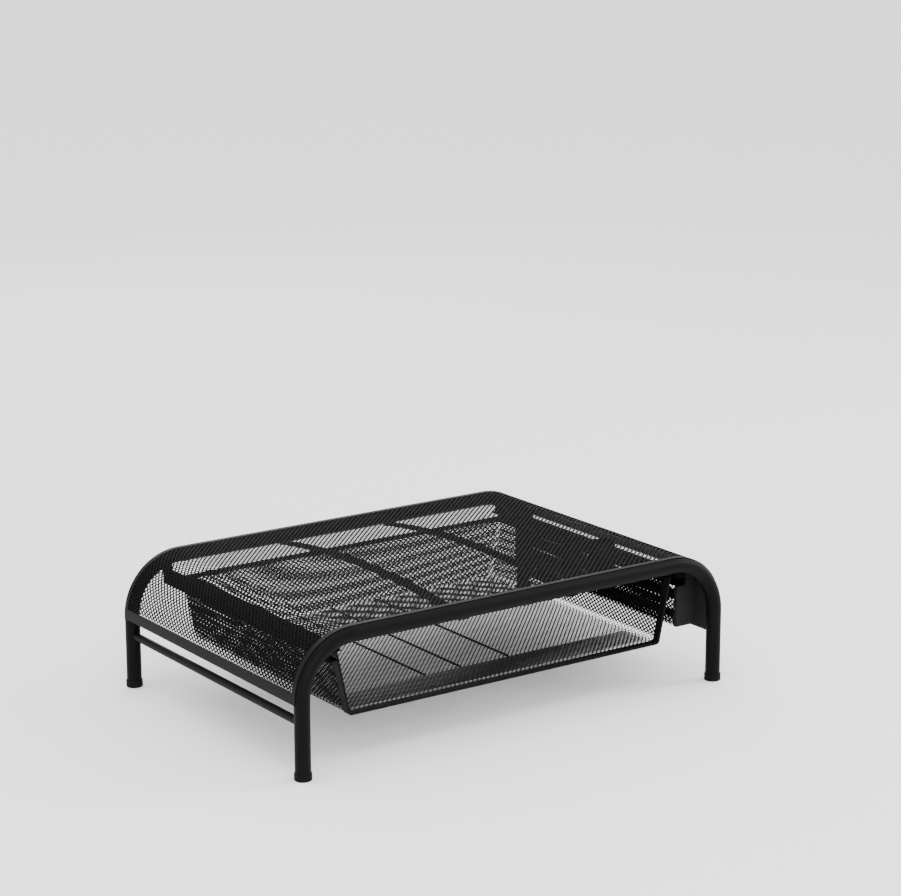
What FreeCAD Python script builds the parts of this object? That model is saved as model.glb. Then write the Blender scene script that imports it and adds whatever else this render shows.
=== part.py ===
import FreeCAD, Part
import math
import os

# Monitor riser stand: two bent tube hoops carry a wrapped mesh top, a slide-out
# mesh drawer hangs in two rails and a two-compartment bin fills the right side.
# Millimetres. X to the right, Y to the back, Z up, origin under the middle.

V = FreeCAD.Vector

# hoops
SPAN_X = 492.8          # between leg centre lines, left to right
SPAN_Y = 324.8          # between leg centre lines, front to back
TUBE_R = 7.6
TUBE_WALL = 1.2
SEAT = 0.05             # play left between a curved seat and what lies on it
TOP_Z = 130.2           # centre line of the straight top runs
BEND_R = 54.8
FOOT_R = 8.4
FOOT_H = 7.5
FOOT_SOLE = 2.5

# side rods
ROD_R = 4.1
ROD_Z = 54.6

# wrapped mesh top and its strips
SHEET_T = 0.8
EDGE_IN = 5.0           # edge strip, inboard of the tube's centre plane
EDGE_OUT = 1.0          # and outboard of it
LEFT_LOW = 73.0         # lower edge of the left side strip
RIGHT_LOW = 108.0       # lower edge of the right side strip
STRIP_H = 11.0
SUPPORT_X = 65.0
SUPPORT_W = 13.0
SUPPORT_T = 1.5
SUPPORT_DROP = 1.65     # support strip ends below the hoop's underside
SUPPORT_RISE = 12.5

# drawer rails
RAIL_INSET = 33.6       # from the leg's centre line in to the rail's outer face
RAIL_LOW = 104.9
RAIL_H = 10.3
RAIL_T = 1.2
LOWER_FLANGE = 9.8
UPPER_FLANGE = 13.0
RAIL_BACK = 5.4         # rail ends, short of the leg centre lines
HANGER_T = 1.6
HANGER_FOOT = 10.0
HANGER_SINK = 5.2       # top of the upright below the hoop's centre line
STOP_BACK = 68.0        # from the drawer's front to the stop's rear face
STOP_L = 8.0
STOP_H = 3.4
CLEAR = 0.3             # running play of the drawer in its rails
STEP = 0.4              # play between the runner's leg and the stop above it

# drawer
FRONT_BACK = 14.4       # drawer's front, behind the front leg centre line
REAR_BACK = 19.8        # drawer's rear, ahead of the rear leg centre line
DRAWER_LOW = 46.1       # underside of the mesh floor
LID_GAP = 0.5           # play under the rail's upper flange
FLOOR_INSET = 26.6      # from the rail's outer face in to the floor's edge
SIDE_LEAN = 0.215       # outward run of the side walls per mm of height
CORNER_R = 4.0
MESH_T = 0.8
HEM_W = 8.0             # strip folded over the front edges of the mesh
HEM_T = 0.8
RIM_H = 5.2             # strip along the top of the rear panel
RUNNER_T = 1.0
RUNNER_IN = 10.2        # runner's flange over the inside of the wall
GLIDE_L = 20.0
GLIDE_W = 5.0
GLIDE_BACK = 6.0
RIB_XS = (-65.0, -22.0, 36.0)
RIB_W = 2.0
RIB_H = 1.2
RIB_GAP = 1.0           # from the doubled band to the ribs
DOUBLER_GAP = 6.0       # single mesh between the hem and the doubled band
DOUBLER_L = 37.5

# side bin
BIN_GAP = 4.6           # from the rail out to the bin's inner wall
BIN_INSET = 5.4         # from the leg's centre line in to the outer wall
BIN_BACK = 24.4         # end plates, short of the leg centre lines
BIN_LOW = 55.0
BIN_DROP = 2.2          # end plates' top below the rail's top
BIN_LIP_TOP = 84.0
BIN_T = 1.0
BIN_RETURN = 3.4
HOOK_H = 12.0           # height of the strip hooked over the rail
HOOK_LAP = 4.8
BRACKET_L = 18.0

X_LEG = SPAN_X / 2.0
Y_LEG = SPAN_Y / 2.0
X_BEND = X_LEG - BEND_R
Z_BEND = TOP_Z - BEND_R
RAIL_OUT = X_LEG - RAIL_INSET
RAIL_TOP = RAIL_LOW + RAIL_H
RAIL_Y = Y_LEG - RAIL_BACK
DRAWER_FRONT = FRONT_BACK - Y_LEG
DRAWER_REAR = Y_LEG - REAR_BACK
DRAWER_TOP = RAIL_TOP - RAIL_T - LID_GAP
HALF_LOW = RAIL_OUT - FLOOR_INSET
RIM_LOW = DRAWER_TOP - RIM_H
RUNNER_Z = RAIL_LOW + RAIL_T + CLEAR
RUNNER_OUT = RAIL_OUT - RAIL_T - CLEAR
LEAN_ANGLE = math.atan(SIDE_LEAN)
REACH = SPAN_X          # past everything, for cutting boxes
BIN_IN = RAIL_OUT + BIN_GAP
BIN_OUT = X_LEG - BIN_INSET
BIN_END_Y = Y_LEG - BIN_BACK
BIN_TOP = RAIL_TOP - BIN_DROP
BIN_WALL_TOP = RAIL_TOP + BIN_T - HOOK_H


def box(x0, x1, y0, y1, z0, z1):
    return Part.makeBox(x1 - x0, y1 - y0, z1 - z0, V(x0, y0, z0))


def mirror_x(shape):
    return shape.mirror(V(0, 0, 0), V(1, 0, 0))


def mirror_y(shape):
    return shape.mirror(V(0, 0, 0), V(0, 1, 0))


def prism_y(points, y0, y1):
    """Closed XZ outline pushed from y0 to y1."""
    loop = [V(x, y0, z) for x, z in points]
    face = Part.Face(Part.makePolygon(loop + [loop[0]]))
    return face.extrude(V(0, y1 - y0, 0))


def hoop_path(y, foot_z):
    """Leg, bend, top run, bend and leg in the plane at y."""
    k = math.sqrt(0.5) * BEND_R
    left = V(-X_LEG, y, Z_BEND)
    left_top = V(-X_BEND, y, TOP_Z)
    right_top = V(X_BEND, y, TOP_Z)
    right = V(X_LEG, y, Z_BEND)
    edges = [
        Part.makeLine(V(-X_LEG, y, foot_z), left),
        Part.Arc(left, V(-X_BEND - k, y, Z_BEND + k), left_top).toShape(),
        Part.makeLine(left_top, right_top),
        Part.Arc(right_top, V(X_BEND + k, y, Z_BEND + k), right).toShape(),
        Part.makeLine(right, V(X_LEG, y, foot_z)),
    ]
    return Part.Wire(edges)


def swept_round(y, foot_z, radius):
    ring = Part.makeCircle(radius, V(-X_LEG, y, foot_z), V(0, 0, 1))
    return hoop_path(y, foot_z).makePipeShell([Part.Wire(ring)], True, False)


def hoop(y):
    outer = swept_round(y, FOOT_SOLE, TUBE_R)
    inner = swept_round(y, FOOT_SOLE, TUBE_R - TUBE_WALL)
    return outer.cut(inner)


def foot(x, y):
    cup = Part.makeCylinder(FOOT_R, FOOT_H, V(x, y, 0))
    sole = [e for e in cup.Edges if e.BoundBox.ZMax < 0.01]
    cup = cup.makeChamfer(0.8, sole)
    rim = [e for e in cup.Edges if e.BoundBox.ZMin > FOOT_H - 0.01]
    cup = cup.makeChamfer(0.4, rim)
    well = Part.makeCylinder(TUBE_R + SEAT, FOOT_H, V(x, y, FOOT_SOLE))
    return cup.cut(well)


def side_rod(x, tubes):
    rod = Part.makeCylinder(ROD_R, SPAN_Y, V(x, -Y_LEG, ROD_Z), V(0, 1, 0))
    for tube in tubes:
        rod = rod.cut(tube)
    return rod


def arch_face(offset, y):
    """Area under the hoop line grown outward by offset."""
    r = BEND_R + offset
    x = X_LEG + offset
    k = math.sqrt(0.5) * r
    z_top = TOP_Z + offset
    edges = [
        Part.makeLine(V(-x, y, 0), V(-x, y, Z_BEND)),
        Part.Arc(V(-x, y, Z_BEND), V(-X_BEND - k, y, Z_BEND + k),
                 V(-X_BEND, y, z_top)).toShape(),
        Part.makeLine(V(-X_BEND, y, z_top), V(X_BEND, y, z_top)),
        Part.Arc(V(X_BEND, y, z_top), V(X_BEND + k, y, Z_BEND + k),
                 V(x, y, Z_BEND)).toShape(),
        Part.makeLine(V(x, y, Z_BEND), V(x, y, 0)),
        Part.makeLine(V(x, y, 0), V(-x, y, 0)),
    ]
    return Part.Face(Part.Wire(edges))


def arch_sheet(y0, y1):
    """Thin sheet lying on the outside of the hoops between y0 and y1."""
    push = V(0, y1 - y0, 0)
    outer = arch_face(TUBE_R + SHEET_T, y0).extrude(push)
    inner = arch_face(TUBE_R + SEAT, y0).extrude(push)
    return outer.cut(inner)


def keep_above(sheet, left_z, right_z):
    """Sheet cut off at left_z on the left side and at right_z on the right."""
    left = box(-REACH, 0, -REACH, REACH, left_z, REACH)
    right = box(0, REACH, -REACH, REACH, right_z, REACH)
    return sheet.common(left.fuse(right).removeSplitter())


def support_strip(x):
    """Flat strip that arches from hoop to hoop under the mesh top."""
    y_end = Y_LEG
    z_end = TOP_Z - TUBE_R - SUPPORT_DROP
    z_mid = z_end + SUPPORT_RISE
    x0 = x - SUPPORT_W / 2.0
    low = Part.Arc(V(x0, -y_end, z_end), V(x0, 0, z_mid),
                   V(x0, y_end, z_end)).toShape()
    high = Part.Arc(V(x0, -y_end, z_end + SUPPORT_T),
                    V(x0, 0, z_mid + SUPPORT_T),
                    V(x0, y_end, z_end + SUPPORT_T)).toShape()
    front = Part.makeLine(V(x0, -y_end, z_end),
                          V(x0, -y_end, z_end + SUPPORT_T))
    rear = Part.makeLine(V(x0, y_end, z_end), V(x0, y_end, z_end + SUPPORT_T))
    face = Part.Face(Part.Wire([low, rear, high, front]))
    return face.extrude(V(SUPPORT_W, 0, 0))


def rail():
    """Right rail: channel open to the inside."""
    outline = [
        (RAIL_OUT - LOWER_FLANGE, RAIL_LOW),
        (RAIL_OUT, RAIL_LOW),
        (RAIL_OUT, RAIL_TOP),
        (RAIL_OUT - UPPER_FLANGE, RAIL_TOP),
        (RAIL_OUT - UPPER_FLANGE, RAIL_TOP - RAIL_T),
        (RAIL_OUT - RAIL_T, RAIL_TOP - RAIL_T),
        (RAIL_OUT - RAIL_T, RAIL_LOW + RAIL_T),
        (RAIL_OUT - LOWER_FLANGE, RAIL_LOW + RAIL_T),
    ]
    return prism_y(outline, -RAIL_Y, RAIL_Y)


def hanger(tubes):
    """Right front L bracket from the rail's end up to the hoop."""
    x0 = RAIL_OUT - LOWER_FLANGE
    foot_plate = box(x0, RAIL_OUT, -RAIL_Y, -RAIL_Y + HANGER_FOOT,
                     RAIL_TOP, RAIL_TOP + HANGER_T)
    upright = box(x0, RAIL_OUT, -RAIL_Y, -RAIL_Y + HANGER_T,
                  RAIL_TOP, TOP_Z - HANGER_SINK)
    shape = foot_plate.fuse(upright).removeSplitter()
    for tube in tubes:
        shape = shape.cut(tube)
    return shape


def rail_stop():
    """Block on the right rail's web that the drawer's glide runs up to."""
    low = RUNNER_Z + RUNNER_T + STEP
    y1 = DRAWER_FRONT + STOP_BACK
    return box(RUNNER_OUT - GLIDE_W + CLEAR, RAIL_OUT - RAIL_T,
               y1 - STOP_L, y1, low, low + STOP_H)


def wall_x(z, outset=0.0):
    """Half width of the mesh wall's outer face at height z, grown by outset."""
    run = SIDE_LEAN * (z - DRAWER_LOW)
    return HALF_LOW + run + outset / math.cos(LEAN_ANGLE)


def tray_face(outset, y, top):
    """Drawer section at y, up to height top, with its skin grown by outset."""
    r = CORNER_R + outset
    cz = DRAWER_LOW + CORNER_R
    cx = wall_x(cz, -CORNER_R)
    half_turn = (math.pi / 2 - LEAN_ANGLE) / 2
    low = V(cx, y, cz - r)
    mid = V(cx + r * math.sin(half_turn), y, cz - r * math.cos(half_turn))
    side = V(cx + r * math.cos(LEAN_ANGLE), y, cz - r * math.sin(LEAN_ANGLE))
    high = V(wall_x(top, outset), y, top)
    right = [
        Part.Arc(low, mid, side).toShape(),
        Part.makeLine(side, high),
    ]
    left = [mirror_x(edge) for edge in right]
    floor = Part.makeLine(V(-cx, y, cz - r), low)
    lid = Part.makeLine(high, V(-high.x, y, top))
    edges = [floor] + right + [lid] + left[::-1]
    return Part.Face(Part.Wire(edges))


def tray_skin(inset, outset, y0, y1, top):
    """Open-topped layer of the drawer's section between two outsets."""
    push = V(0, y1 - y0, 0)
    outer = tray_face(outset, y0, top).extrude(push)
    inner = tray_face(-inset, y0, top + 1.0).extrude(push)
    return outer.cut(inner)


def slab(x0, z0, z1):
    """Wide cutting slab from x0 to the right between two heights."""
    return box(x0, REACH, -REACH, REACH, z0, z1)


def front_hem():
    """Strip folded over the front edges of floor and walls."""
    y0 = DRAWER_FRONT
    y1 = y0 + HEM_W
    whole = tray_skin(MESH_T + HEM_T, HEM_T, y0, y1, DRAWER_TOP)
    slot = tray_skin(MESH_T, 0, y0 + HEM_T, y1, DRAWER_TOP - RUNNER_T)
    return whole.cut(slot)


def drawer_skin():
    """Mesh of floor and walls, bent up round the lower corners."""
    return tray_skin(MESH_T, 0, DRAWER_FRONT + HEM_T, DRAWER_REAR - MESH_T,
                     DRAWER_TOP - RUNNER_T)


def drawer_rear():
    face = tray_face(0, DRAWER_REAR - MESH_T, DRAWER_TOP)
    return face.extrude(V(0, MESH_T, 0))


def rear_rim():
    """Strip along the top of the rear panel, outside it."""
    outline = [
        (-wall_x(RIM_LOW), RIM_LOW),
        (wall_x(RIM_LOW), RIM_LOW),
        (wall_x(DRAWER_TOP), DRAWER_TOP),
        (-wall_x(DRAWER_TOP), DRAWER_TOP),
    ]
    return prism_y(outline, DRAWER_REAR, DRAWER_REAR + HEM_T)


def floor_doubler():
    low = DRAWER_LOW + MESH_T
    half = wall_x(DRAWER_LOW + CORNER_R, -CORNER_R)
    y0 = DRAWER_FRONT + HEM_W + DOUBLER_GAP
    return box(-half, half, y0, y0 + DOUBLER_L, low, low + MESH_T)


def runner():
    """Right runner: flange over the wall, web down it, leg inside the rail."""
    low = RUNNER_Z + RUNNER_T
    top = DRAWER_TOP
    outline = [
        (wall_x(RUNNER_Z), RUNNER_Z),
        (RUNNER_OUT, RUNNER_Z),
        (RUNNER_OUT, low),
        (wall_x(low, RUNNER_T), low),
        (wall_x(top, RUNNER_T), top),
        (wall_x(top) - RUNNER_IN, top),
        (wall_x(top) - RUNNER_IN, top - RUNNER_T),
        (wall_x(top - RUNNER_T), top - RUNNER_T),
    ]
    return prism_y(outline, DRAWER_FRONT + HEM_W, DRAWER_REAR - MESH_T)


def glide():
    """Block at the rear end of the right runner, filling the rail."""
    y1 = DRAWER_REAR - GLIDE_BACK
    return box(RUNNER_OUT - GLIDE_W, RUNNER_OUT, y1 - GLIDE_L, y1,
               RUNNER_Z + RUNNER_T, RAIL_TOP - RAIL_T - CLEAR)


def rib(x):
    y0 = DRAWER_FRONT + HEM_W + DOUBLER_GAP + DOUBLER_L + RIB_GAP
    low = DRAWER_LOW + MESH_T
    return box(x - RIB_W / 2.0, x + RIB_W / 2.0, y0, DRAWER_REAR - MESH_T,
               low, low + RIB_H)


def bin_end(tubes):
    """Front end of the bin: return, plate and flange to the leg."""
    y0 = -BIN_END_Y
    back = box(BIN_IN, BIN_IN + BIN_T, y0, y0 + BIN_RETURN + BIN_T,
               BIN_LOW, BIN_TOP)
    plate = box(BIN_IN, BIN_OUT, y0, y0 + BIN_T, BIN_LOW, BIN_TOP)
    flange = box(BIN_OUT - BIN_T, BIN_OUT, -Y_LEG, y0 + BIN_T,
                 BIN_LOW, BIN_TOP)
    shape = back.fuse([plate, flange])
    shape = shape.common(arch_face(TUBE_R, -REACH).extrude(V(0, 2 * REACH, 0)))
    for tube in tubes:
        shape = shape.cut(tube)
    return shape.removeSplitter()


def bin_inner():
    y_in = BIN_END_Y - BIN_T - BIN_RETURN
    return box(BIN_IN, BIN_IN + MESH_T, -y_in, y_in,
               BIN_LOW + MESH_T, BIN_WALL_TOP)


def bin_hook():
    """Strip above the bin's inner mesh, turned over onto the rail."""
    y_in = BIN_END_Y - BIN_T - BIN_RETURN
    leaf = box(BIN_IN, BIN_IN + BIN_T, -y_in, y_in,
               BIN_WALL_TOP, RAIL_TOP + BIN_T)
    over = box(RAIL_OUT - HOOK_LAP, BIN_IN + BIN_T, -y_in, y_in,
               RAIL_TOP, RAIL_TOP + BIN_T)
    return leaf.fuse(over).removeSplitter()


def bin_floor():
    y_in = BIN_END_Y - BIN_T - BIN_RETURN
    return box(BIN_IN, BIN_OUT, -y_in, y_in, BIN_LOW, BIN_LOW + MESH_T)


def bin_outer():
    y_in = BIN_END_Y - BIN_T
    return box(BIN_OUT - MESH_T, BIN_OUT, -y_in, y_in,
               BIN_LOW + MESH_T, BIN_LIP_TOP - STRIP_H)


def bin_outer_strip():
    y_in = BIN_END_Y - BIN_T
    return box(BIN_OUT - BIN_T, BIN_OUT, -y_in, y_in,
               BIN_LIP_TOP - STRIP_H, BIN_LIP_TOP)


def bin_bracket():
    """Two cross plates between the compartments with a web behind them."""
    half = BRACKET_L / 2.0
    x0 = BIN_IN + BIN_T
    x1 = BIN_OUT - BIN_T
    low = BIN_LOW + MESH_T
    front = box(x0, x1, -half, -half + BIN_T, low, BIN_TOP)
    rear = box(x0, x1, half - BIN_T, half, low, BIN_TOP)
    web = box(x1 - BIN_T, x1, -half, half, low, BIN_TOP)
    shape = front.fuse([rear, web])
    shape = shape.common(arch_face(TUBE_R, -REACH).extrude(V(0, 2 * REACH, 0)))
    return shape.removeSplitter()


tubes = [swept_round(-Y_LEG, FOOT_SOLE, TUBE_R + SEAT),
         swept_round(Y_LEG, FOOT_SOLE, TUBE_R + SEAT)]
y_mesh = Y_LEG - EDGE_IN
front_edge = keep_above(arch_sheet(-Y_LEG - EDGE_OUT, -y_mesh),
                        LEFT_LOW + STRIP_H, RIGHT_LOW + STRIP_H)
full_sheet = arch_sheet(-Y_LEG - EDGE_OUT, Y_LEG + EDGE_OUT)
left_band = box(-REACH, 0, -REACH, REACH, LEFT_LOW, LEFT_LOW + STRIP_H)
right_band = box(0, REACH, -REACH, REACH, RIGHT_LOW, RIGHT_LOW + STRIP_H)

SPLIT_Z = DRAWER_LOW + CORNER_R
skin = drawer_skin()
wall = skin.common(slab(0, SPLIT_Z, REACH))
hem = front_hem()
post = hem.common(slab(0, DRAWER_LOW + HEM_W, REACH))

nodes = {
    "front_hoop": hoop(-Y_LEG),
    "rear_hoop": hoop(Y_LEG),
    "foot_front_left": foot(-X_LEG, -Y_LEG),
    "foot_front_right": foot(X_LEG, -Y_LEG),
    "foot_rear_left": foot(-X_LEG, Y_LEG),
    "foot_rear_right": foot(X_LEG, Y_LEG),
    "side_rod_left": side_rod(-X_LEG, tubes),
    "side_rod_right": side_rod(X_LEG, tubes),
    "top_mesh": keep_above(arch_sheet(-y_mesh, y_mesh),
                           LEFT_LOW + STRIP_H, RIGHT_LOW + STRIP_H),
    "edge_strip_front": front_edge,
    "edge_strip_rear": mirror_y(front_edge),
    "side_strip_left": full_sheet.common(left_band),
    "side_strip_right": full_sheet.common(right_band),
    "support_strip_left": support_strip(-SUPPORT_X),
    "support_strip_right": support_strip(SUPPORT_X),
    "rail_right": rail(),
    "rail_left": mirror_x(rail()),
    "rail_stop_right": rail_stop(),
    "rail_stop_left": mirror_x(rail_stop()),
    "hanger_front_right": hanger(tubes),
    "hanger_front_left": mirror_x(hanger(tubes)),
    "hanger_rear_right": mirror_y(hanger(tubes)),
    "hanger_rear_left": mirror_x(mirror_y(hanger(tubes))),
    "bin_end_front": bin_end(tubes),
    "bin_end_rear": mirror_y(bin_end(tubes)),
    "bin_inner_mesh": bin_inner(),
    "bin_hook_strip": bin_hook(),
    "bin_floor_mesh": bin_floor(),
    "bin_outer_mesh": bin_outer(),
    "bin_outer_strip": bin_outer_strip(),
    "bin_bracket": bin_bracket(),
    "drawer_floor_mesh": skin.common(slab(-REACH, 0, SPLIT_Z)),
    "drawer_floor_doubler": floor_doubler(),
    "drawer_mesh_right": wall,
    "drawer_mesh_left": mirror_x(wall),
    "drawer_mesh_rear": drawer_rear(),
    "drawer_post_right": post,
    "drawer_post_left": mirror_x(post),
    "drawer_front_strip": hem.common(slab(-REACH, 0, DRAWER_LOW + HEM_W)),
    "drawer_rear_rim": rear_rim(),
    "runner_right": runner(),
    "runner_left": mirror_x(runner()),
    "glide_right": glide(),
    "glide_left": mirror_x(glide()),
}
for number, x in enumerate(RIB_XS, 1):
    nodes["drawer_rib_%d" % number] = rib(x)

os.makedirs("parts", exist_ok=True)
for name, shape in nodes.items():
    shape.exportStep("parts/%s.step" % name)
    print(name, len(shape.Solids), round(shape.Volume, 1), shape.isValid())
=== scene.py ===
import math

import bpy
import numpy as np
from mathutils import Matrix, Vector


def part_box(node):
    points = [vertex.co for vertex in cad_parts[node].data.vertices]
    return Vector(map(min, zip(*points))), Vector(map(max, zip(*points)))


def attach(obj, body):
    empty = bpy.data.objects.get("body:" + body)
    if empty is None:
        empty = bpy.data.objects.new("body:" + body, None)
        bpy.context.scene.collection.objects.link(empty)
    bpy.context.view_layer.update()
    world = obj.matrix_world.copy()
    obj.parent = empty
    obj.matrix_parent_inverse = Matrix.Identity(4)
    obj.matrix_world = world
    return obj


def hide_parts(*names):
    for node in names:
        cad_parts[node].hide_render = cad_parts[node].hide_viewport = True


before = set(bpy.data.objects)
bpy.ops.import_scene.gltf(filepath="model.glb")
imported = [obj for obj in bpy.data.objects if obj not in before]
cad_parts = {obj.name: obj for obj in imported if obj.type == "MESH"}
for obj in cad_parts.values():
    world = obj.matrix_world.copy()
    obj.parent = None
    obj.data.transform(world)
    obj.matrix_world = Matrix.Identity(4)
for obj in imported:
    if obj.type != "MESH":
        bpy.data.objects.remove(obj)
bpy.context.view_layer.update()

# Everything is in metres.
# Hoops, with the same driving sizes as the CAD.
SPAN_X = 0.4928
SPAN_Y = 0.3248
TUBE_R = 0.0076
TOP_Z = 0.1302
BEND_R = 0.0548
Y_LEG = SPAN_Y / 2
X_BEND = SPAN_X / 2 - BEND_R
Z_BEND = TOP_Z - BEND_R

# Wrapped top: it starts at the left side strip and ends at the right one.
SHEET_T = 0.0008
EDGE_IN = 0.005
WRAP_R = BEND_R + TUBE_R + SHEET_T / 2
WRAP_START = math.asin((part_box("side_strip_left")[1].z - Z_BEND) / WRAP_R)
WRAP_END = math.asin((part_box("side_strip_right")[1].z - Z_BEND) / WRAP_R)
LEFT_ARC = WRAP_R * (math.pi / 2 - WRAP_START)
RIGHT_ARC = WRAP_R * (math.pi / 2 - WRAP_END)
TOP_RUN = 2 * X_BEND
WRAP_LENGTH = LEFT_ARC + TOP_RUN + RIGHT_ARC
WRAP_WIDTH = SPAN_Y - 2 * EDGE_IN

# Drawer: a floor with turned-up corners between two leaning walls.
MESH_T = 0.0008
HALF_LOW = 0.1862
SIDE_LEAN = 0.215
CORNER_R = 0.004
DOUBLER_HALF = 0.182
LEAN_ANGLE = math.atan(SIDE_LEAN)
FLOOR_LOW, FLOOR_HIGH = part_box("drawer_floor_mesh")
DRAWER_FRONT = FLOOR_LOW.y
DRAWER_REAR = FLOOR_HIGH.y
DRAWER_LOW = FLOOR_LOW.z
DRAWER_DEPTH = DRAWER_REAR - DRAWER_FRONT
WALL_LOW = DRAWER_LOW + CORNER_R
WALL_X = HALF_LOW + SIDE_LEAN * CORNER_R - MESH_T / 2 / math.cos(LEAN_ANGLE)
WALL_RUN = (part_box("drawer_mesh_right")[1].z - WALL_LOW) / math.cos(LEAN_ANGLE)
REAR_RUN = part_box("drawer_mesh_rear")[1].z - DRAWER_LOW
TRAY_R = CORNER_R - MESH_T / 2
TRAY_FLAT = HALF_LOW + SIDE_LEAN * CORNER_R - CORNER_R / math.cos(LEAN_ANGLE)
TRAY_TURN = math.pi / 2 - LEAN_ANGLE
TRAY_CLIMB = TRAY_R * math.cos(TRAY_TURN) / math.sin(TRAY_TURN)
TRAY_LENGTH = 2 * (TRAY_FLAT + TRAY_R * TRAY_TURN + TRAY_CLIMB)

# Diamond cells: SHORT along a panel's length, LONG along its width, and the strand width.
LONG = 0.0060
SHORT = 0.0047
STRAND = 0.0014
TOP_SHORT = 0.0060
TOP_STRAND = 0.0015
TOP_STRETCH = 0.16      # share by which the top's cells are narrower far left, wider far right
FLOOR_LONG = 0.00546
FLOOR_SHORT = 0.00524
FLOOR_STRAND = 0.00105
DOUBLER_STRAND = 0.0006
THICK = 0.0005          # of the strands
LIFT = 0.00013          # of each opening's far corner, with its near corner as far below
HEM_TUCK = 0.0012       # how far the top's mesh runs on under its strips

# Powder coat.
MOTTLE_SCALE = 35.0
SHADE_DARK = 0.82
SHADE_LIGHT = 1.22
SHADE_COOL = 0.03
SHEEN_BELOW = 0.05
SHEEN_ABOVE = 0.06
PEEL_STRENGTH = 0.12
PEEL_DEPTH = 0.0002

# Studio.
FLOOR_HALF = 12.0
FLOOR_SHADE = 0.93
FLOOR_ROUGHNESS = 0.9
WORLD_STRENGTH = 1.9
LIGHT_AIM = (0, 0, 0.1)


def cells(length, width, long_way, short_way, tuck, strand):
    """Top faces of a diamond mesh over length by width, running on by tuck all round."""
    n_s = max(2, round((length + 2 * tuck) / short_way))
    n_t = max(2, round((width + 2 * tuck) / long_way))
    half_s = (length + 2 * tuck) / n_s / 2
    half_t = (width + 2 * tuck) / n_t / 2
    i, j = np.meshgrid(np.arange(1, 2 * n_s), np.arange(1, 2 * n_t), indexing="ij")
    centred = (i + j) % 2 == 1
    ci = i[centred]
    cj = j[centred]
    rows = 2 * n_t + 1
    centre_to_side = half_s * half_t / math.hypot(half_s, half_t)
    inset = 1 - strand / 2 / centre_to_side
    steps = [(1, 0), (0, 1), (-1, 0), (0, -1)]
    corner_ids = [(ci + a) * rows + (cj + b) for a, b in steps]
    grid_i, grid_j = np.divmod(np.arange((2 * n_s + 1) * rows), rows)
    count = len(ci)
    points = [np.stack([grid_i * half_s, grid_j * half_t], 1)]
    lifts = [np.zeros(len(grid_i))]
    inner_ids = []
    for k, (a, b) in enumerate(steps):
        points.append(np.stack([(ci + a * inset) * half_s, (cj + b * inset) * half_t], 1))
        lifts.append(np.full(count, a * LIFT))
        inner_ids.append(len(grid_i) + k * count + np.arange(count))
    quads = []
    for k in range(4):
        m = (k + 1) % 4
        quads.append(np.stack([corner_ids[k], corner_ids[m], inner_ids[m], inner_ids[k]], 1))
    flat = np.concatenate(points) - tuck
    return flat, np.concatenate(lifts), np.concatenate(quads)


def used_only(flat, lifts, quads):
    """The points that the quads use, and the quads renumbered to match."""
    used, quads = np.unique(quads, return_inverse=True)
    return flat[used], lifts[used], quads.reshape(-1, 4)


def thicken(points, normals, quads):
    """Closed shell THICK through: the faces, their copies below and a wall along every open edge."""
    count = len(points)
    edges = np.concatenate([quads[:, [k, (k + 1) % 4]] for k in range(4)])
    key = np.sort(edges, axis=1)
    key = key[:, 0] * count + key[:, 1]
    _, first, times = np.unique(key, return_index=True, return_counts=True)
    open_edges = edges[first[times == 1]]
    a = open_edges[:, 0]
    b = open_edges[:, 1]
    walls = np.stack([b, a, a + count, b + count], 1)
    shell = np.concatenate([points + normals * THICK / 2, points - normals * THICK / 2])
    return shell, np.concatenate([quads, quads[:, ::-1] + count, walls])


def mesh_object(name, points, quads, material):
    mesh = bpy.data.meshes.new(name)
    mesh.vertices.add(len(points))
    mesh.vertices.foreach_set("co", np.ascontiguousarray(points, dtype=np.float32).ravel())
    mesh.loops.add(quads.size)
    mesh.loops.foreach_set("vertex_index", quads.astype(np.int32).ravel())
    mesh.polygons.add(len(quads))
    mesh.polygons.foreach_set("loop_start", np.arange(0, quads.size, 4, dtype=np.int32))
    mesh.update(calc_edges=True)
    mesh.validate()
    mesh.materials.append(material)
    obj = bpy.data.objects.new(name, mesh)
    bpy.context.collection.objects.link(obj)
    return obj


def mesh_panel(name, node, body, surface, length, width, material, tuck=0.0, parts=1,
               long_way=LONG, short_way=SHORT, strand=STRAND):
    """Diamond mesh laid on surface(s, t), in one or more pieces side by side along s."""
    flat, lifts, quads = cells(length, width, long_way, short_way, tuck, strand)
    middle = flat[quads].mean(axis=1)[:, 0]
    cuts = np.quantile(middle, np.linspace(0, 1, parts + 1))
    cell = np.tile(np.arange(len(quads) // 4), 4)
    cell_s = np.bincount(cell, middle) / 4
    for k in range(parts):
        low = cuts[k] if k else -math.inf
        high = cuts[k + 1] if k < parts - 1 else math.inf
        mine = (cell_s[cell] > low) & (cell_s[cell] <= high)
        f, lift, q = used_only(flat, lifts, quads[mine])
        points, normals = surface(f[:, 0], f[:, 1])
        points = points + normals * lift[:, None]
        shell, faces = thicken(points, normals, q)
        title = name if parts == 1 else "%s_%d" % (name, k + 1)
        obj = mesh_object(title, shell, faces, material)
        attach(obj, body)
        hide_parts(node)


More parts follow.
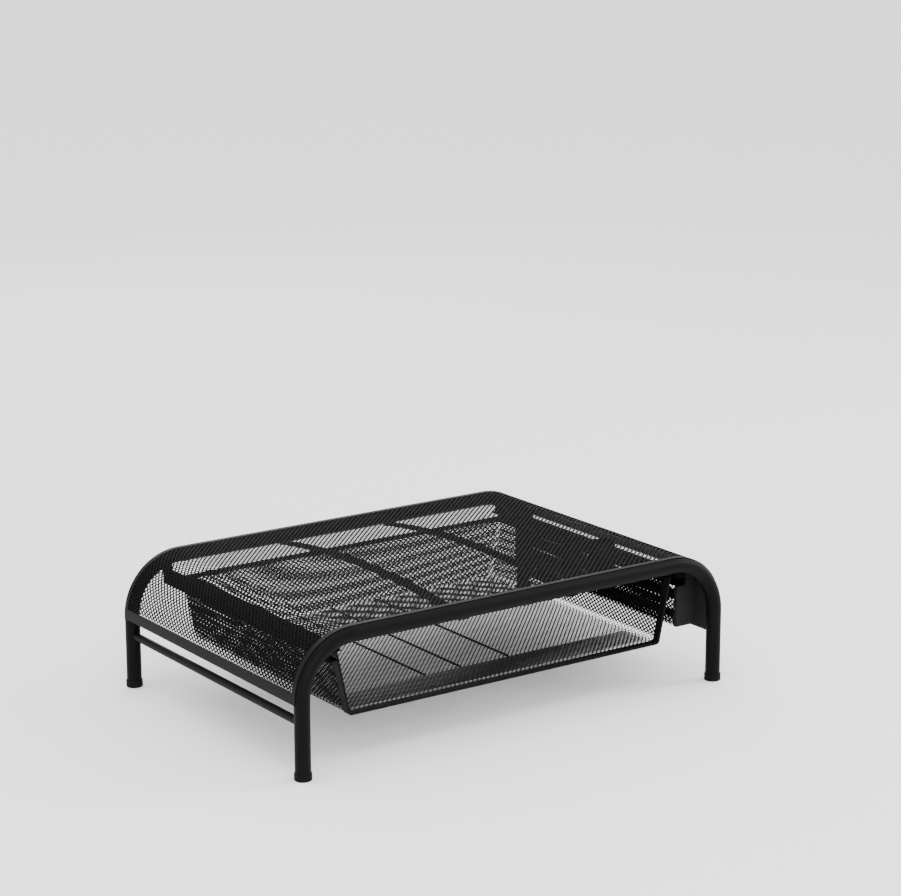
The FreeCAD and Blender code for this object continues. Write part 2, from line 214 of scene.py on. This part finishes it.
def wrapped(s, t):
    """The mesh top: up the left bend, across and down the right bend."""
    along = s / WRAP_LENGTH
    s = s - TOP_STRETCH * WRAP_LENGTH * along * (1 - along)
    left = np.clip(WRAP_START + s / WRAP_R, None, math.pi / 2)
    right = np.clip((s - LEFT_ARC - TOP_RUN) / WRAP_R, 0, None)
    on_left = s < LEFT_ARC
    on_right = s > LEFT_ARC + TOP_RUN
    angle = np.where(on_left, left, math.pi / 2 + np.where(on_right, right, 0.0))
    across = -X_BEND + (s - LEFT_ARC)
    centre = np.where(on_left, -X_BEND, np.where(on_right, X_BEND, across))
    normal = np.stack([-np.cos(angle), np.zeros_like(s), np.sin(angle)], 1)
    point = normal * WRAP_R
    point[:, 0] += centre
    point[:, 1] = t - Y_LEG + EDGE_IN
    point[:, 2] += Z_BEND
    return point, normal


def tray(s, t):
    """The drawer's floor with both lower corners turned up, from the left corner to the right."""
    d = s - TRAY_LENGTH / 2
    side = np.sign(d)
    away = np.abs(d)
    angle = np.clip((away - TRAY_FLAT) / TRAY_R, 0, TRAY_TURN)
    climb = np.clip(away - TRAY_FLAT - TRAY_R * TRAY_TURN, 0, None)
    x = np.minimum(away, TRAY_FLAT) + TRAY_R * np.sin(angle) + climb * math.cos(TRAY_TURN)
    z = WALL_LOW - TRAY_R * np.cos(angle) + climb * math.sin(TRAY_TURN)
    points = np.stack([side * x, DRAWER_FRONT + t, z], 1)
    normals = np.stack([-side * np.sin(angle), np.zeros_like(s), np.cos(angle)], 1)
    return points, normals


def rear_wall(s, t):
    """Upright trapezium between the two leaning sides, its lower corners drawn in."""
    corner = np.clip(1 - s / CORNER_R, 0, 1) ** 2 * CORNER_R
    half = HALF_LOW + SIDE_LEAN * s - corner
    x = (t / HALF_LOW - 1.0) * half
    y = np.full_like(s, DRAWER_REAR + MESH_T / 2)
    points = np.stack([x, y, DRAWER_LOW + s], 1)
    return points, np.tile(np.array([0.0, 1.0, 0.0]), (len(s), 1))


def plane(origin, along_s, along_t=(0, 1, 0)):
    """Flat surface from origin; its normal is along_s x along_t."""
    o = np.array(origin)
    u = np.array(along_s, float)
    v = np.array(along_t, float)
    u = u / np.linalg.norm(u)
    v = v / np.linalg.norm(v)
    n = np.cross(u, v)

    def surface(s, t):
        points = o + s[:, None] * u + t[:, None] * v
        return points, np.tile(n, (len(s), 1))
    return surface


def powder_coat(name, base, roughness, grain=1400.0, gloss=0.06):
    """Near-black coat: fine orange peel, faint mottling and slightly uneven sheen."""
    mat = bpy.data.materials.new(name)
    mat.use_nodes = True
    tree = mat.node_tree
    tree.nodes.clear()
    out = tree.nodes.new("ShaderNodeOutputMaterial")
    shader = tree.nodes.new("ShaderNodeBsdfPrincipled")
    where = tree.nodes.new("ShaderNodeTexCoord")
    peel = tree.nodes.new("ShaderNodeTexNoise")
    peel.inputs["Scale"].default_value = grain
    peel.inputs["Detail"].default_value = 3.0
    mottle = tree.nodes.new("ShaderNodeTexNoise")
    mottle.inputs["Scale"].default_value = MOTTLE_SCALE
    mottle.inputs["Detail"].default_value = 4.0
    tint = tree.nodes.new("ShaderNodeValToRGB")
    stops = ((0.3, SHADE_DARK), (0.75, SHADE_LIGHT))
    for stop, (position, shade) in zip(tint.color_ramp.elements, stops):
        stop.position = position
        stop.color = (base * shade, base * shade, base * (shade + SHADE_COOL), 1)
    sheen = tree.nodes.new("ShaderNodeMapRange")
    sheen.inputs["To Min"].default_value = roughness - SHEEN_BELOW
    sheen.inputs["To Max"].default_value = roughness + SHEEN_ABOVE
    bump = tree.nodes.new("ShaderNodeBump")
    bump.inputs["Strength"].default_value = PEEL_STRENGTH
    bump.inputs["Distance"].default_value = PEEL_DEPTH
    shader.inputs["Specular IOR Level"].default_value = gloss
    link = tree.links.new
    link(where.outputs["Object"], peel.inputs["Vector"])
    link(where.outputs["Object"], mottle.inputs["Vector"])
    link(mottle.outputs["Fac"], tint.inputs["Fac"])
    link(tint.outputs["Color"], shader.inputs["Base Color"])
    link(mottle.outputs["Fac"], sheen.inputs["Value"])
    link(sheen.outputs["Result"], shader.inputs["Roughness"])
    link(peel.outputs["Fac"], bump.inputs["Height"])
    link(bump.outputs["Normal"], shader.inputs["Normal"])
    link(shader.outputs["BSDF"], out.inputs["Surface"])
    return mat


coat = powder_coat("powder_coat", base=0.002, roughness=0.45)
mesh_coat = powder_coat("mesh_coat", base=0.0018, roughness=0.6, gloss=0.03)
# Lighter, glossier copy of the same coat: painted light on the drawer's floor and its doubler.
floor_painted_light_coat = powder_coat("floor_mesh_painted_light_coat", base=0.006, roughness=0.5, gloss=0.2)
# Darker, duller copy of the same coat: painted shade for the support strips, rails, runners,
# hangers, the drawer's rear rim and the bin's hook strip, which sit in shadow under the top.
painted_shade_coat = powder_coat("painted_shade_coat", base=0.0016, roughness=0.7, gloss=0.025)
# Lighter copy of the same coat: painted light on the bin's end plates.
painted_light_plate_coat = powder_coat("bin_plate_coat", base=0.011, roughness=0.6, gloss=0.1)
rubber = powder_coat("foot_cap", base=0.003, roughness=0.6, grain=2200.0)
nylon = powder_coat("glide_nylon", base=0.004, roughness=0.5, grain=900.0)

# Parts that take the painted-shade copy of the coat.
PAINTED_SHADE_NODES = ("support", "rail", "runner", "hanger", "drawer_rear_rim", "bin_hook")


def skin_for(name):
    """Material of a carried-over CAD node."""
    if name.startswith("foot"):
        return rubber
    if name.startswith("glide"):
        return nylon
    # Painted shade: parts in shadow under the top get the darker copy.
    if name.startswith(PAINTED_SHADE_NODES):
        return painted_shade_coat
    # Painted light: the bin's end plates get the lighter copy.
    if name.startswith("bin_end"):
        return painted_light_plate_coat
    return coat


for name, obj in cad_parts.items():
    obj.data.materials.clear()
    obj.data.materials.append(skin_for(name))


def stand_panels():
    mesh_panel("mesh_top", "top_mesh", "stand", wrapped, WRAP_LENGTH, WRAP_WIDTH, mesh_coat,
               tuck=HEM_TUCK, parts=3, short_way=TOP_SHORT, strand=TOP_STRAND)

    low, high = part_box("bin_inner_mesh")
    mesh_panel("mesh_bin_inner", "bin_inner_mesh", "stand",
               plane((low.x + MESH_T / 2, low.y, low.z), (0, 0, 1)),
               high.z - low.z, high.y - low.y, mesh_coat)

    low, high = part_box("bin_floor_mesh")
    mesh_panel("mesh_bin_floor", "bin_floor_mesh", "stand",
               plane((low.x, low.y, low.z + MESH_T / 2), (1, 0, 0)),
               high.x - low.x, high.y - low.y, mesh_coat)

    low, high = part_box("bin_outer_mesh")
    mesh_panel("mesh_bin_outer", "bin_outer_mesh", "stand",
               plane((low.x + MESH_T / 2, low.y, low.z), (0, 0, 1)),
               high.z - low.z, high.y - low.y, mesh_coat)


def drawer_panels():
    # The floor and its doubler take the painted-light copy of the coat.
    mesh_panel("mesh_floor", "drawer_floor_mesh", "drawer", tray, TRAY_LENGTH, DRAWER_DEPTH,
               floor_painted_light_coat, parts=2, long_way=FLOOR_LONG, short_way=FLOOR_SHORT,
               strand=FLOOR_STRAND)

    low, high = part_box("drawer_floor_doubler")
    mesh_panel("mesh_floor_doubler", "drawer_floor_doubler", "drawer",
               plane((-DOUBLER_HALF, low.y, low.z + MESH_T / 2), (1, 0, 0)),
               2 * DOUBLER_HALF, high.y - low.y, floor_painted_light_coat, long_way=FLOOR_LONG,
               short_way=FLOOR_SHORT, strand=DOUBLER_STRAND)

    for side, sign in (("right", 1), ("left", -1)):
        mesh_panel("mesh_side_" + side, "drawer_mesh_" + side, "drawer",
                   plane((sign * WALL_X, DRAWER_FRONT, WALL_LOW), (sign * SIDE_LEAN, 0, 1)),
                   WALL_RUN, DRAWER_DEPTH, mesh_coat)

    mesh_panel("mesh_rear", "drawer_mesh_rear", "drawer", rear_wall,
               REAR_RUN, 2 * HALF_LOW, mesh_coat)


def backdrop():
    """Plain pale floor."""
    mesh = bpy.data.meshes.new("floor")
    s = FLOOR_HALF
    mesh.from_pydata([(-s, -s, 0), (s, -s, 0), (s, s, 0), (-s, s, 0)], [], [(0, 1, 2, 3)])
    floor = bpy.data.objects.new("floor", mesh)
    mat = bpy.data.materials.new("floor_white")
    mat.use_nodes = True
    shader = mat.node_tree.nodes["Principled BSDF"]
    shader.inputs["Base Color"].default_value = (FLOOR_SHADE, FLOOR_SHADE, FLOOR_SHADE, 1)
    shader.inputs["Roughness"].default_value = FLOOR_ROUGHNESS
    mesh.materials.append(mat)
    bpy.context.collection.objects.link(floor)


def area_light(name, place, size, power):
    """Rectangular soft light turned to LIGHT_AIM."""
    data = bpy.data.lights.new(name, "AREA")
    data.shape = "RECTANGLE"
    data.size = size[0]
    data.size_y = size[1]
    data.energy = power
    obj = bpy.data.objects.new(name, data)
    obj.location = place
    obj.rotation_euler = (Vector(LIGHT_AIM) - Vector(place)).to_track_quat("-Z", "Y").to_euler()
    bpy.context.collection.objects.link(obj)


def white_world():
    world = bpy.data.worlds.new("studio")
    world.use_nodes = True
    background = world.node_tree.nodes["Background"]
    background.inputs["Color"].default_value = (1, 1, 1, 1)
    background.inputs["Strength"].default_value = WORLD_STRENGTH
    bpy.context.scene.world = world


def camera(azimuth, elevation, roll, place, lens):
    """Camera at place; the angles are in degrees, and azimuth 0 looks along +Y."""
    a = math.radians(azimuth)
    e = math.radians(elevation)
    back = Vector((math.sin(a) * math.cos(e), -math.cos(a) * math.cos(e), math.sin(e)))
    right = Vector((math.cos(a), math.sin(a), 0))
    up = back.cross(right)
    turn = Matrix((right, up, back)).transposed() @ Matrix.Rotation(math.radians(roll), 3, "Z")
    data = bpy.data.cameras.new("view")
    data.lens = lens
    data.sensor_width = 36.0
    data.clip_start = 0.05
    data.clip_end = 60.0
    obj = bpy.data.objects.new("view", data)
    obj.matrix_world = Matrix.Translation(place) @ turn.to_4x4()
    bpy.context.collection.objects.link(obj)
    bpy.context.scene.camera = obj


stand_panels()
drawer_panels()
backdrop()
area_light("key", place=(-0.6, -0.3, 2.2), size=(1.6, 1.2), power=18.0)
area_light("fill_right", place=(2.0, -0.8, 1.3), size=(0.9, 1.2), power=30.0)
area_light("fill_back", place=(0.6, 2.4, 1.4), size=(1.8, 1.0), power=14.0)
area_light("front", place=(-1.2, -2.4, 1.2), size=(1.5, 1.0), power=40.0)
white_world()
camera(azimuth=-35.015, elevation=13.62, roll=-0.118, place=(-1.40175, -2.04824, 0.84794),
       lens=102.11)
